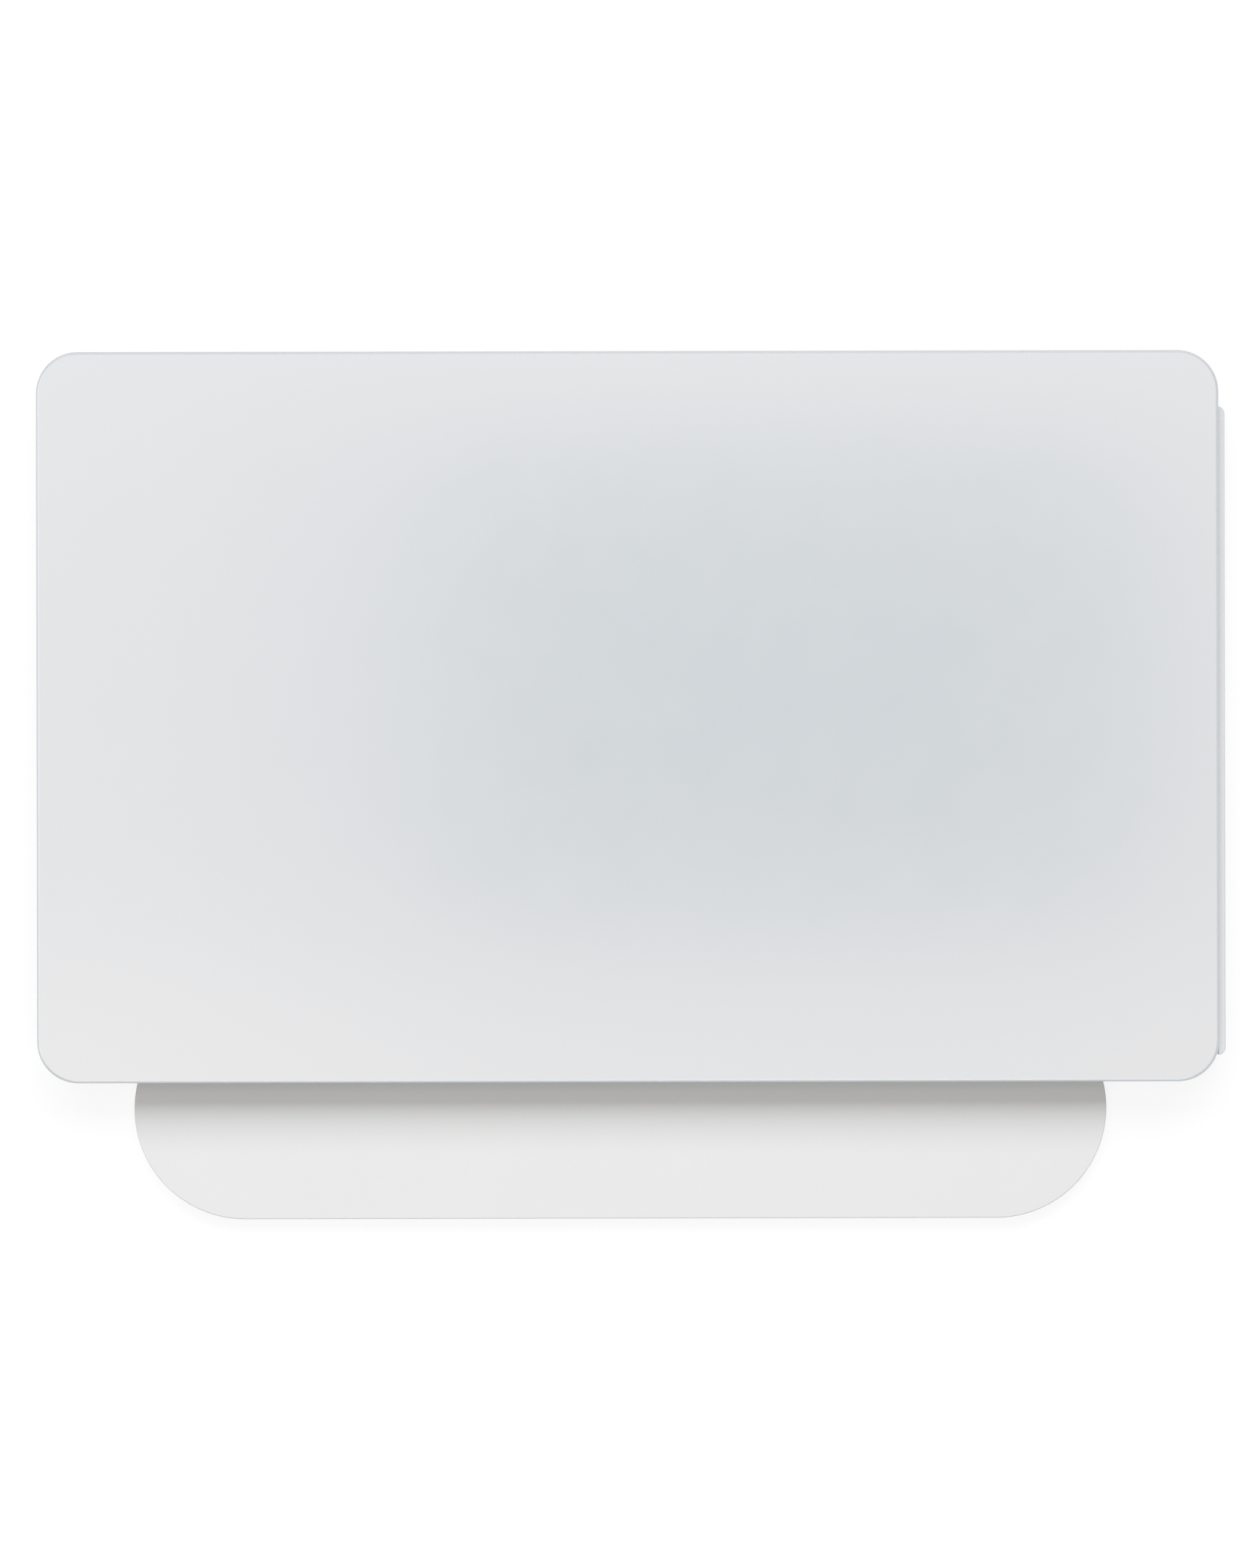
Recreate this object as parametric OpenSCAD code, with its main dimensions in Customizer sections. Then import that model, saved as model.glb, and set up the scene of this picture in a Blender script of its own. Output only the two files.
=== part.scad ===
// Haptic trackpad of the 15-inch laptop class, standing on its tray and front lip.
// A glass touch plate floats on four force-sensing spring beams, and a flat motor under
// its middle shakes it sideways. Lengths are in millimetres. +X is right, +Y is the rear
// edge, and Z = 0 is the surface that the trackpad stands on.

/* [Touch plate] */
// Width of the touch glass
plate_w = 160; // [145:1:180]
// Depth of the touch glass, front to rear
plate_d = 99; // [90:1:115]
// Corner radius of the touch glass
plate_r = 5.6; // [3:0.1:8]
// Thickness of the touch glass
glass_t = 1.0; // [0.8:0.05:1.6]
// Bevel along the upper edge of the glass
glass_bevel = 0.3; // [0.1:0.05:0.5]
// Thickness of the adhesive film under the glass
film_t = 0.15; // [0.1:0.05:0.3]
// Thickness of the sensor board
board_t = 0.6; // [0.4:0.1:1.2]
// How far the board stays inside the edge of the glass
board_inset = 1.0; // [0.6:0.1:2]

/* [Motion] */
// Downward travel of the plate at a full press
press_travel = 0.25; // [0.1:0.05:0.5]
// Sideways travel of the plate each way when the motor shakes it
shake_travel = 0.15; // [0.05:0.05:0.3]
// Gap that is left between facing pieces at the end of their travel
travel_clear = 0.3; // [0.2:0.05:0.6]

/* [Tray] */
// How far the tray's wall stays inside the edge of the glass
tray_inset = 1.0; // [0.6:0.1:2]
// Thickness of the tray's floor
tray_floor_t = 1.2; // [1:0.1:2]
// Thickness of the tray's wall
tray_wall_t = 1.0; // [0.6:0.1:1.6]
// Distance between the tapped mounting holes, left to right
mount_sx = 120; // [100:1:124]
// Distance between the tapped mounting holes, front to rear
mount_sy = 50; // [42:1:52]
// Radius of the tapped mounting holes, nominal thread size
mount_r = 1.0; // [0.8:0.1:1.25]
// Depth of the tapped mounting holes
mount_depth = 1.9; // [1.5:0.1:2.2]
// Wall around the tapped mounting holes
mount_wall = 1.2; // [0.8:0.1:1.6]
// Metal left over the end of the tapped mounting holes
mount_cap = 0.3; // [0.2:0.05:0.5]
// Radius of the rubber feet under the tray
foot_r = 4.5; // [3:0.5:6]
// Distance from the tray's edge to the middle of a foot
foot_edge = 8; // [7:0.5:12]
// Gap between the front feet and the lip
foot_lip_gap = 3; // [1:0.5:6]

/* [Side rail] */
// How far the rail stands out past the right edge of the glass
rail_out = 1; // [0.6:0.05:2]
// Length of the rail
rail_len = 88; // [60:1:88]
// How far the rail's middle lies in front of the plate's middle
rail_shift = 2; // [0:0.1:2]

/* [Front lip] */
// Width of the pill-shaped lip
lip_w = 132.6; // [110:0.1:140]
// How far the lip's middle lies left of the plate's middle
lip_shift = 1.1; // [-4:0.1:4]
// How far the lip stands out in front of the glass
lip_reach = 18.9; // [12:0.1:24]
// How far the lip runs back under the glass
lip_tuck = 11.2; // [9:0.2:14]
// Thickness of the lip
lip_t = 1.5; // [1.3:0.1:3]
// Rounding along the upper edge of the lip
lip_bevel = 0.3; // [0.1:0.05:0.5]
// Thickness of the rubber pads under the lip
lip_pad_t = 0.4; // [0.3:0.1:1]
// Size of one lip pad, left to right and front to rear
lip_pad_size = [16, 5]; // [3:0.5:18]
// Distance from the lip's front edge to the middle of its pads
lip_pad_edge = 5.5; // [4:0.5:8]
// Number of screws, and of pads, along the lip
lip_points = 3; // [2:1:5]
// Distance from the lip's end to its outer screw, or to the middle of its outer pad
lip_end = 22; // [18:0.5:30]

/* [Force beams] */
// Distance from a beam's screws to the middle of its tip
beam_span = 20; // [16:0.5:24]
// Thickness of the spring steel
beam_t = 0.6; // [0.4:0.05:0.8]
// Width of a beam's waist
neck_w = 4; // [3:0.5:6]
// Radius of the fillets where the waist meets the root
neck_fillet = 2; // [0.5:0.1:3]
// Radius of a beam's tip
tip_r = 4; // [3.5:0.1:5]
// Gap between a beam's tip and the tray's wall
tip_wall_gap = 2; // [1.5:0.1:4]
// Size of a beam's root, along the beam and across it
root_size = [6, 12]; // [5:0.5:14]
// Distance between the two screws of a root
root_pitch = 7; // [6:0.5:8]
// Thickness of the levelling shim under a root
shim_t = 0.15; // [0.1:0.05:0.3]
// Size of a strain gauge: along the beam, across it, thickness
gauge_size = [6, 3, 0.1]; // [0.1:0.1:8]
// Width of the flex tail from a gauge to the board
tail_w = 2.4; // [1.5:0.1:4]
// Reach of a tail from the beam's middle line to its end on the board
tail_reach = 9; // [7:0.5:10]
// Thickness of the disc welded on a beam's tip
tip_disc_t = 0.2; // [0.15:0.05:0.4]
// Radius of the disc welded on a beam's tip
tip_disc_r = 3.6; // [3:0.1:4]
// Thickness of a gel pad
gel_t = 0.8; // [0.6:0.1:1.5]
// Radius of a gel pad
gel_r = 3.3; // [2.5:0.1:3.6]

/* [Haptic motor] */
// Number of poles on the core
pole_count = 4; // [2:1:4]
// Distance between neighbouring poles
pole_pitch = 14; // [13:0.5:16]
// Size of a pole, left to right and front to rear
pole_size = [6, 16]; // [4:0.5:18]
// Thickness of the bar that joins the poles
core_bar_t = 0.8; // [0.6:0.1:1]
// How far the bar runs past the poles, front and rear
core_margin = 1; // [0.5:0.1:2]
// How far the bar runs past the outer poles
core_end = 5; // [3:0.5:6]
// Build-up of wire on each side of a pole
coil_build = 2.2; // [1.5:0.1:2.6]
// Gap between a pole and its coil
coil_gap = 0.2; // [0.1:0.05:0.4]
// How far a coil stays below its pole's face
coil_drop = 0.25; // [0.1:0.05:0.5]
// Thickness of the armature plate under the board
armature_t = 0.6; // [0.4:0.1:0.8]
// How far the armature runs past the bar, front and rear
armature_margin = 1.5; // [0.5:0.1:2.5]
// Width of the slots in the armature
armature_slot = 4; // [2:0.5:6]
// Thickness of the steel base that carries the core
motor_base_t = 0.6; // [0.4:0.1:0.8]
// How far the base laps over the edge of the tray's window
motor_lap = 5; // [4:0.5:6]
// Free room around the motor in the tray's window
window_room = 3.6; // [2:0.2:5]
// Size of the terminal block beside the core
terminal_size = [3, 8]; // [2:0.5:10]
// Gap between the core and its terminal block
terminal_gap = 0.5; // [0.3:0.1:1]
// How far the terminal block stands above the tray's floor
terminal_rise = 0.1; // [0.05:0.05:0.3]

/* [Electronics] */
// Length of the host socket's housing past its contacts at each end
socket_end = 2; // [1.6:0.1:3]
// Depth of the host socket
socket_d = 4.2; // [3.6:0.1:5]
// Height of the host socket
socket_h = 1.1; // [1:0.1:1.3]
// Distance from the board's rear edge to the socket's mouth
socket_edge = 1.3; // [0.8:0.1:3]
// Number of contacts in the host socket
contact_count = 20; // [10:2:22]
// Distance between neighbouring contacts
contact_pitch = 0.5; // [0.4:0.05:0.6]
// Section and length of a contact's leg: across, along, thickness
leg_size = [0.2, 0.8, 0.15]; // [0.1:0.05:1]
// Length of the socket's flip latch from its hinge to its free edge
latch_len = 1.55; // [1.2:0.05:2]
// Thickness of the latch
latch_t = 0.5; // [0.4:0.05:0.6]
// Radius of the latch's pins
pin_r = 0.15; // [0.1:0.01:0.18]
// Length of the latch's pins
pin_len = 0.5; // [0.4:0.05:0.7]
// Radial running room around the pins
pin_clear = 0.05; // [0.03:0.01:0.08]
// Running room around the latch
latch_gap = 0.1; // [0.08:0.01:0.2]
// Room in front of the latch's swing in the tray's notch
notch_room = 1.2; // [0.6:0.1:2]
// Room beside the socket in the tray's notch
notch_side = 2.5; // [1:0.1:4]
// Size of the shield can over the touch controller
can_size = [22, 16, 0.9]; // [0.8:0.1:24]
// Sheet thickness of the shield can
can_wall = 0.15; // [0.1:0.05:0.3]
// Size of the touch controller
controller_size = [12, 12, 0.6]; // [0.5:0.1:14]
// Size of the motor driver
driver_size = [6, 6, 0.8]; // [0.5:0.1:8]
// Size of one force amplifier
amp_size = [4, 4, 0.7]; // [0.5:0.1:5]
// Size of the socket for the motor's flex
motor_socket_size = [3, 8, 0.9]; // [0.8:0.1:9]
// Size of one small part on the board
passive_size = [1, 0.5, 0.5]; // [0.3:0.1:1.4]
// Distance between neighbouring small parts
passive_pitch = 1.8; // [1.5:0.1:2.2]
// Number of small parts in one row
passive_count = 9; // [4:1:10]
// Thickness of the motor's flex and of the gauges' tails
flex_t = 0.12; // [0.1:0.01:0.2]
// Width of the motor's flex
flex_w = 6; // [4:0.5:7]
// Gap between neighbouring parts on the board
chip_gap = 3; // [2:0.5:4]

/* [Screws] */
// Radius of a screw's shank
screw_r = 0.8; // [0.6:0.05:0.9]
// Radius of a screw's head
head_r = 1.5; // [1.2:0.1:1.7]
// Height of a screw's head
head_h = 0.4; // [0.3:0.05:0.5]
// Radial room around a shank in a tapped hole
thread_clear = 0.05; // [0.02:0.01:0.1]
// Radial room around a shank or head in a plain hole
hole_clear = 0.15; // [0.1:0.05:0.3]
// Metal left between a blind hole and the far face of the floor
screw_skin = 0.2; // [0.15:0.05:0.4]
// Radius of the recess in a screw's head, across its corners
recess_r = 0.6; // [0.4:0.05:0.8]
// Depth of the recess in a screw's head
recess_depth = 0.2; // [0.1:0.05:0.3]

/* [Stops and corners] */
// Radius of the rubber stops under the board
stop_r = 1.5; // [1:0.1:2]
// Distance from the tray's wall to the middle of a stop
stop_wall = 3; // [2:0.1:4]
// Gap between a stop and the board at a full press
stop_slack = 0.05; // [0.02:0.01:0.1]
// Distance from the middle to the stops along the long sides
stop_x = 28; // [20:1:32]
// Corner radius of the sheet-metal base and of the tray's window
sheet_r = 1.5; // [0.5:0.1:2]
// Least corner radius of the tray and the board
least_r = 0.3; // [0.2:0.1:0.5]

/* [Hidden] */
$fn = 64;

// Overshoot of a cut past the face that it opens
cut = 1;

// Levels, counted up from the surface below
z_tray = lip_pad_t + lip_t;
z_floor = z_tray + tray_floor_t;
z_beam = z_floor + press_travel + travel_clear;
z_disc = z_beam + beam_t;
z_gel = z_disc + tip_disc_t;
z_board = z_gel + gel_t;
z_film = z_board + board_t;
z_glass = z_film + film_t;
z_top = z_glass + glass_t;
z_rim = z_board - press_travel - travel_clear;
z_bar = z_tray + core_bar_t;
z_pole = z_board - armature_t - press_travel - travel_clear;
z_stop = z_board - press_travel - stop_slack;
z_terminal = z_floor + terminal_rise;
boss_h = z_beam - shim_t - z_floor;

// Outlines, as [width, depth]
plate_size = [plate_w, plate_d];
board_size = plate_size - 2 * [board_inset, board_inset];
tray_size = plate_size - 2 * [tray_inset, tray_inset];
well_size = tray_size - 2 * [tray_wall_t, tray_wall_t];
tray_r = max(plate_r - tray_inset, least_r);
well_r = max(tray_r - tray_wall_t, least_r);
board_r = max(plate_r - board_inset, least_r);
lip_d = lip_reach + lip_tuck;
lip_size = [lip_w, lip_d];

// The origin lies under the middle of the whole part's outline
plate_x = -rail_out / 2;
plate_y = lip_reach / 2;

// Places, counted from the middle of the plate
lip_x = -lip_shift;
lip_y = -plate_d / 2 - lip_reach + lip_d / 2;
lip_rear = lip_y + lip_d / 2;
lip_screw_y = (lip_rear - well_size.y / 2) / 2;
lip_pad_y = lip_y - lip_d / 2 + lip_pad_edge;
lip_pitch = (lip_w - 2 * lip_end) / (lip_points - 1);
foot_x = tray_size.x / 2 - foot_edge;
foot_rear_y = tray_size.y / 2 - foot_edge;
foot_front_y = lip_rear + foot_lip_gap + foot_r;
beam_x = well_size.x / 2 - tip_wall_gap - tip_r;
beam_y = well_size.y / 2 - tip_wall_gap - tip_r;
root_x = beam_x - beam_span;
core_size = [(pole_count - 1) * pole_pitch + pole_size.x + 2 * core_end, pole_size.y + 2 * core_margin];
coil_bore = pole_size + 2 * [coil_gap, coil_gap];
coil_size = coil_bore + 2 * [coil_build, coil_build];
motor_x = core_size.x / 2 + terminal_gap + terminal_size.x;
window_size = [2 * motor_x, coil_size.y] + 2 * [window_room, window_room];
motor_base_size = window_size + 2 * [motor_lap, motor_lap];
motor_screw_x = (window_size.x + motor_lap) / 2;
motor_screw_y = (window_size.y + motor_lap) / 2;
motor_socket_x = motor_base_size.x / 2 + chip_gap + motor_socket_size.x / 2;
driver_x = motor_socket_x + motor_socket_size.x / 2 + chip_gap + driver_size.x / 2;
can_x = -(motor_base_size.x / 2 + chip_gap + can_size.x / 2);
amp_x = root_x - root_size.x / 2 - chip_gap - amp_size.x / 2;
passive_y = can_size.y / 2 + chip_gap;
gauge_x = (root_x + root_size.x / 2 + beam_x - tip_disc_r) / 2;
socket_w = contact_count * contact_pitch + 2 * socket_end;
mouth_y = board_size.y / 2 - socket_edge;
latch_y = mouth_y - latch_len;
latch_z = z_board - socket_h + latch_t / 2;
latch_w = socket_w - 2 * (pin_len + 2 * latch_gap);
block_y = latch_y - latch_t / 2 - latch_gap;
lip_bore = head_h + hole_clear;

// Shapes that repeat

module rounded_rect(size, r) {
    square([size.x - 2 * r, size.y], center = true);
    square([size.x, size.y - 2 * r], center = true);
    for (sx = [-1, 1], sy = [-1, 1])
        translate([sx * (size.x / 2 - r), sy * (size.y / 2 - r)]) circle(r);
}

// A rectangle with half-round ends
module stadium(size) {
    square([size.x - size.y, size.y], center = true);
    for (s = [-1, 1]) translate([s * (size.x - size.y) / 2, 0]) circle(size.y / 2);
}

module slab(size, h, r) {
    linear_extrude(h) rounded_rect(size, r);
}

// A bar along X with bevelled upper edges
module bevelled_bar(length, width, h, bevel) {
    rotate([90, 0, 90])
        linear_extrude(length, center = true)
            polygon([
                [-width / 2, 0], [width / 2, 0], [width / 2, h - bevel],
                [width / 2 - bevel, h], [bevel - width / 2, h], [-width / 2, h - bevel]
            ]);
}

// A disc with a bevelled upper edge
module bevelled_disc(r, h, bevel) {
    rotate_extrude() polygon([[0, 0], [r, 0], [r, h - bevel], [r - bevel, h], [0, h]]);
}

// A slab whose upper edge is cut back by a bevel all the way round
module bevelled_slab(size, h, r, bevel) {
    bevelled_bar(size.x - 2 * r, size.y, h, bevel);
    rotate([0, 0, 90]) bevelled_bar(size.y - 2 * r, size.x, h, bevel);
    for (sx = [-1, 1], sy = [-1, 1])
        translate([sx * (size.x / 2 - r), sy * (size.y / 2 - r), 0]) bevelled_disc(r, h, bevel);
}

// A box centred on its place, from z0 up to z1
module block(size, z0, z1) {
    translate([0, 0, (z0 + z1) / 2]) cube([size.x, size.y, z1 - z0], center = true);
}

// A round post from z0 up to z1
module post(r, z0, z1) {
    translate([0, 0, z0]) cylinder(z1 - z0, r, r);
}

// A flat ribbon that follows a path of [x, z] points in the plane of X and Z
module ribbon(path, width) {
    up = [0, flex_t / 2];
    rotate([90, 0, 0]) linear_extrude(width, center = true)
        polygon(concat([for (p = path) p + up], [for (i = [len(path) - 1 : -1 : 0]) path[i] - up]));
}

// A part that hangs under the board
module chip(size) {
    block(size, z_board - size.z, z_board);
}

// A screw with its head's seat at z = 0 and its shank pointing down
module screw(shank) {
    post(screw_r, -shank, 0);
    difference() {
        post(head_r, 0, head_h);
        translate([0, 0, head_h - recess_depth]) cylinder(recess_depth + cut, recess_r, recess_r, $fn = 6);
    }
}

// A screw driven from below, with its head's seat at z
module screw_from_below(z, shank) {
    translate([0, 0, z]) rotate([180, 0, 0]) screw(shank);
}

// Copies at the four corners, turned so that +X and +Y always point outwards
module at_corners() {
    for (sx = [0, 1], sy = [0, 1]) mirror([sx, 0, 0]) mirror([0, sy, 0]) children();
}

module at_lip_points(y) {
    for (i = [0 : lip_points - 1])
        translate([lip_x + (i - (lip_points - 1) / 2) * lip_pitch, y, 0]) children();
}

module at_motor_screws() {
    for (x = [-1, 0, 1], y = [-1, 1])
        translate([x * motor_screw_x, y * motor_screw_y, 0]) children();
}

module at_root_screws() {
    for (s = [-1, 1]) translate([root_x, beam_y + s * root_pitch / 2, 0]) children();
}

module at_stops() {
    for (s = [-1, 1]) {
        translate([s * (well_size.x / 2 - stop_wall), 0, 0]) children();
        for (x = [-stop_x, stop_x]) translate([x, s * (well_size.y / 2 - stop_wall), 0]) children();
    }
}

module at_poles() {
    for (i = [0 : pole_count - 1]) translate([(i - (pole_count - 1) / 2) * pole_pitch, 0, 0]) children();
}

// Fixed pieces

module tray() {
    mount_top = z_tray + mount_depth + mount_cap;
    color("gainsboro") difference() {
        union() {
            translate([0, 0, z_tray]) slab(tray_size, tray_floor_t, tray_r);
            translate([0, 0, z_tray]) linear_extrude(z_rim - z_tray) difference() {
                rounded_rect(tray_size, tray_r);
                rounded_rect(well_size, well_r);
            }
            at_corners() translate([root_x, beam_y, 0]) block(root_size, z_tray, z_floor + boss_h);
            at_corners() translate([mount_sx / 2, mount_sy / 2, 0])
                post(mount_r + mount_wall, z_tray, mount_top);
        }
        translate([0, 0, z_tray - cut]) slab(window_size, tray_floor_t + 2 * cut, sheet_r);
        at_corners() at_root_screws() post(screw_r + thread_clear, z_tray + screw_skin, z_beam);
        at_corners() translate([mount_sx / 2, mount_sy / 2, 0])
            post(mount_r, z_tray - cut, z_tray + mount_depth);
        at_motor_screws() post(screw_r + thread_clear, z_tray - cut, z_floor - screw_skin);
        at_lip_points(lip_screw_y) post(screw_r + thread_clear, z_tray - cut, z_floor - screw_skin);
        rear_notch();
    }
}

// The way for the host cable and for the latch's swing, through the rear wall and floor
module rear_notch() {
    front = latch_y - latch_t / 2 - notch_room;
    rear = tray_size.y / 2 + cut;
    translate([0, (front + rear) / 2, 0])
        block([socket_w + 2 * notch_side, rear - front], z_tray - cut, z_rim + cut);
}

// The rail is a ledge on the tray's right wall that runs out from under the rim of the glass
module side_rail() {
    inner = tray_size.x / 2;
    ledge = board_size.x / 2 + shake_travel + travel_clear;
    ledge_z = z_glass - press_travel - travel_clear;
    color("lightgray") translate([0, -rail_shift, 0]) {
        rail_layer(inner, z_tray, z_rim);
        rail_layer(ledge, z_rim, ledge_z);
    }
}

// One layer of the rail, from the x of its inner face to the rail's outer face, with rounded ends
module rail_layer(inner, bottom, top) {
    side = plate_w / 2;
    run = rail_len - 2 * rail_out;
    translate([(inner + side + rail_out) / 2, 0, 0]) block([side + rail_out - inner, run], bottom, top);
    for (s = [-1, 1]) intersection() {
        translate([side, s * run / 2, 0]) post(rail_out, bottom, top);
        translate([side + rail_out / 2, s * (run + rail_out) / 2, 0]) block([rail_out, rail_out], bottom, top);
    }
}

module front_lip() {
    color("whitesmoke") difference() {
        translate([lip_x, lip_y, lip_pad_t]) pill(lip_size, lip_t, lip_bevel);
        at_lip_points(lip_screw_y) {
            post(screw_r + hole_clear, lip_pad_t - cut, z_tray + cut);
            post(head_r + hole_clear, lip_pad_t - cut, lip_pad_t + lip_bore);
        }
    }
}

// A slab with half-round ends and a bevelled upper edge
module pill(size, h, bevel) {
    bevelled_bar(size.x - size.y, size.y, h, bevel);
    for (s = [-1, 1]) translate([s * (size.x - size.y) / 2, 0, 0]) bevelled_disc(size.y / 2, h, bevel);
}

module lip_screws() {
    seat = lip_pad_t + lip_bore;
    color("silver") at_lip_points(lip_screw_y) screw_from_below(seat, z_floor - screw_skin - seat);
}

module lip_pads() {
    color("dimgray") at_lip_points(lip_pad_y) linear_extrude(lip_pad_t) stadium(lip_pad_size);
}

module tray_feet() {
    color("dimgray") for (s = [-1, 1]) {
        translate([s * foot_x, foot_rear_y, 0]) post(foot_r, 0, z_tray);
        translate([s * foot_x, foot_front_y, 0]) post(foot_r, 0, z_tray);
    }
}

module motor_base() {
    color("silver") difference() {
        translate([0, 0, z_tray - motor_base_t]) slab(motor_base_size, motor_base_t, sheet_r);
        at_motor_screws() post(screw_r + hole_clear, z_tray - motor_base_t - cut, z_tray + cut);
    }
}

module motor_core() {
    color("slategray") {
        block(core_size, z_tray, z_bar);
        at_poles() block(pole_size, z_bar, z_pole);
    }
}

module motor_coils() {
    color("peru") at_poles() translate([0, 0, z_bar]) linear_extrude(z_pole - coil_drop - z_bar) difference() {
        rounded_rect(coil_size, coil_build);
        square(coil_bore, center = true);
    }
}

module motor_terminal() {
    color("black") translate([motor_x - terminal_size.x / 2, 0, 0]) block(terminal_size, z_tray, z_terminal);
}

module motor_screws() {
    seat = z_tray - motor_base_t;
    color("silver") at_motor_screws() screw_from_below(seat, z_floor - screw_skin - seat);
}

// The flex from the coils' terminal up to its socket on the board
module motor_flex() {
    start = motor_x - terminal_size.x;
    end = motor_socket_x - motor_socket_size.x / 2;
    low = z_terminal + flex_t / 2;
    high = z_board - motor_socket_size.z / 2;
    color("orange") ribbon(
        [[start, low], [motor_x + chip_gap, low], [end - chip_gap, high], [end, high]],
        flex_w
    );
}

// Fills an inner corner of a beam, which opens towards +X and +Y, with a fillet
module fillet(r) {
    difference() {
        translate([r / 2, r / 2, 0]) block([r, r], z_beam, z_disc);
        translate([r, r, 0]) post(r, z_beam - cut, z_disc + cut);
    }
}

// One spring beam, drawn for the right rear corner
module beam() {
    color("lightsteelblue") difference() {
        union() {
            translate([root_x, beam_y, 0]) block(root_size, z_beam, z_disc);
            translate([(root_x + beam_x) / 2, beam_y, 0]) block([beam_span, neck_w], z_beam, z_disc);
            translate([beam_x, beam_y, 0]) post(tip_r, z_beam, z_disc);
            translate([root_x + root_size.x / 2, beam_y, 0]) {
                translate([0, neck_w / 2, 0]) fillet(neck_fillet);
                mirror([0, 1, 0]) translate([0, neck_w / 2, 0]) fillet(neck_fillet);
            }
        }
        at_root_screws() post(screw_r + hole_clear, z_beam - cut, z_disc + cut);
    }
}

module beam_rear_right() { beam(); }
module beam_rear_left() { mirror([1, 0, 0]) beam(); }
module beam_front_right() { mirror([0, 1, 0]) beam(); }
module beam_front_left() { rotate([0, 0, 180]) beam(); }

module strain_gauges() {
    color("goldenrod") at_corners() translate([gauge_x, beam_y, 0])
        block(gauge_size, z_disc, z_disc + gauge_size.z);
}

// The tails run from the gauges towards the middle of the plate and end flat on the board
module gauge_tails() {
    low = z_disc + gauge_size.z + flex_t / 2;
    high = z_board - flex_t / 2;
    color("orange") at_corners() translate([gauge_x, beam_y, 0]) rotate([0, 0, -90])
        ribbon(
            [[-tail_w / 2, low], [neck_w / 2, low], [tail_reach - tail_w, high], [tail_reach, high]],
            tail_w
        );
}

module levelling_shims() {
    color("gold") at_corners() difference() {
        translate([root_x, beam_y, 0]) block(root_size, z_beam - shim_t, z_beam);
        at_root_screws() post(screw_r + hole_clear, z_floor, z_disc);
    }
}

module beam_screws() {
    color("silver") at_corners() at_root_screws()
        translate([0, 0, z_disc]) screw(z_disc - z_tray - screw_skin);
}

module press_stops() {
    color("dimgray") at_stops() post(stop_r, z_floor, z_stop);
}

// Pieces that go down with a press but are not shaken

module beam_tip_discs() {
    color("silver") at_corners() translate([beam_x, beam_y, 0]) post(tip_disc_r, z_disc, z_gel);
}

// Pieces of the touch plate

module gel_pads() {
    color("khaki") at_corners() translate([beam_x, beam_y, 0]) post(gel_r, z_gel, z_board);
}

module touch_glass() {
    color([0.86, 0.88, 0.89]) translate([0, 0, z_glass]) bevelled_slab(plate_size, glass_t, plate_r, glass_bevel);
}

module glass_adhesive() {
    color("white") translate([0, 0, z_film]) slab(board_size, film_t, board_r);
}

module sensor_board() {
    color("darkslategray") translate([0, 0, z_board]) slab(board_size, board_t, board_r);
}

module armature_plate() {
    size = core_size + 2 * [0, armature_margin];
    slot = [armature_slot, pole_size.y];
    color("lightslategray") difference() {
        chip([size.x, size.y, armature_t]);
        for (i = [1 : pole_count - 1]) translate([(i - pole_count / 2) * pole_pitch, 0, 0])
            block(slot, z_board - armature_t - cut, z_board + cut);
    }
}

module touch_controller() {
    color("black") translate([can_x, 0, 0]) chip(controller_size);
}

module shield_can() {
    room = can_size - 2 * [can_wall, can_wall, 0];
    color("silver") translate([can_x, 0, 0]) difference() {
        chip(can_size);
        block(room, z_board - can_size.z + can_wall, z_board + cut);
    }
}

module motor_driver() {
    color("black") translate([driver_x, 0, 0]) chip(driver_size);
}

module force_amplifiers() {
    color("black") at_corners() translate([amp_x, beam_y, 0]) chip(amp_size);
}

module board_passives() {
    color("tan") for (x = [can_x, driver_x], sy = [-1, 1], i = [0 : passive_count - 1])
        translate([x + (i - (passive_count - 1) / 2) * passive_pitch, sy * passive_y, 0]) chip(passive_size);
}

module motor_socket() {
    color("black") translate([motor_socket_x, 0, 0]) chip(motor_socket_size);
}

module host_socket() {
    shelf_z = latch_z + latch_t / 2 + latch_gap;
    front = mouth_y - socket_d;
    ear = [pin_len + latch_gap, latch_t + 2 * latch_gap];
    color("ivory") difference() {
        union() {
            translate([0, (front + block_y) / 2, 0]) block([socket_w, block_y - front], z_board - socket_h, z_board);
            translate([0, (block_y + mouth_y) / 2, 0]) block([socket_w, mouth_y - block_y], shelf_z, z_board);
            for (s = [-1, 1]) translate([s * (socket_w - ear.x) / 2, block_y + ear.y / 2, 0])
                block(ear, z_board - socket_h, shelf_z);
        }
        translate([0, latch_y, latch_z]) rotate([0, 90, 0])
            cylinder(socket_w + cut, pin_r + pin_clear, pin_r + pin_clear, center = true);
    }
}

module socket_contacts() {
    front = mouth_y - socket_d;
    color("gold") for (i = [0 : contact_count - 1])
        translate([(i - (contact_count - 1) / 2) * contact_pitch, front - leg_size.y / 2, 0]) chip(leg_size);
}

// The flip latch that clamps the host cable: closed here, it swings down to open
module socket_latch() {
    color("saddlebrown") {
        translate([0, latch_y + latch_len / 2, 0])
            block([latch_w, latch_len], latch_z - latch_t / 2, latch_z + latch_t / 2);
        translate([0, latch_y, latch_z]) rotate([0, 90, 0]) {
            cylinder(latch_w, latch_t / 2, latch_t / 2, center = true);
            cylinder(latch_w + 2 * pin_len, pin_r, pin_r, center = true);
        }
    }
}

module on_plate() {
    translate([plate_x, plate_y, 0]) children();
}

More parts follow.
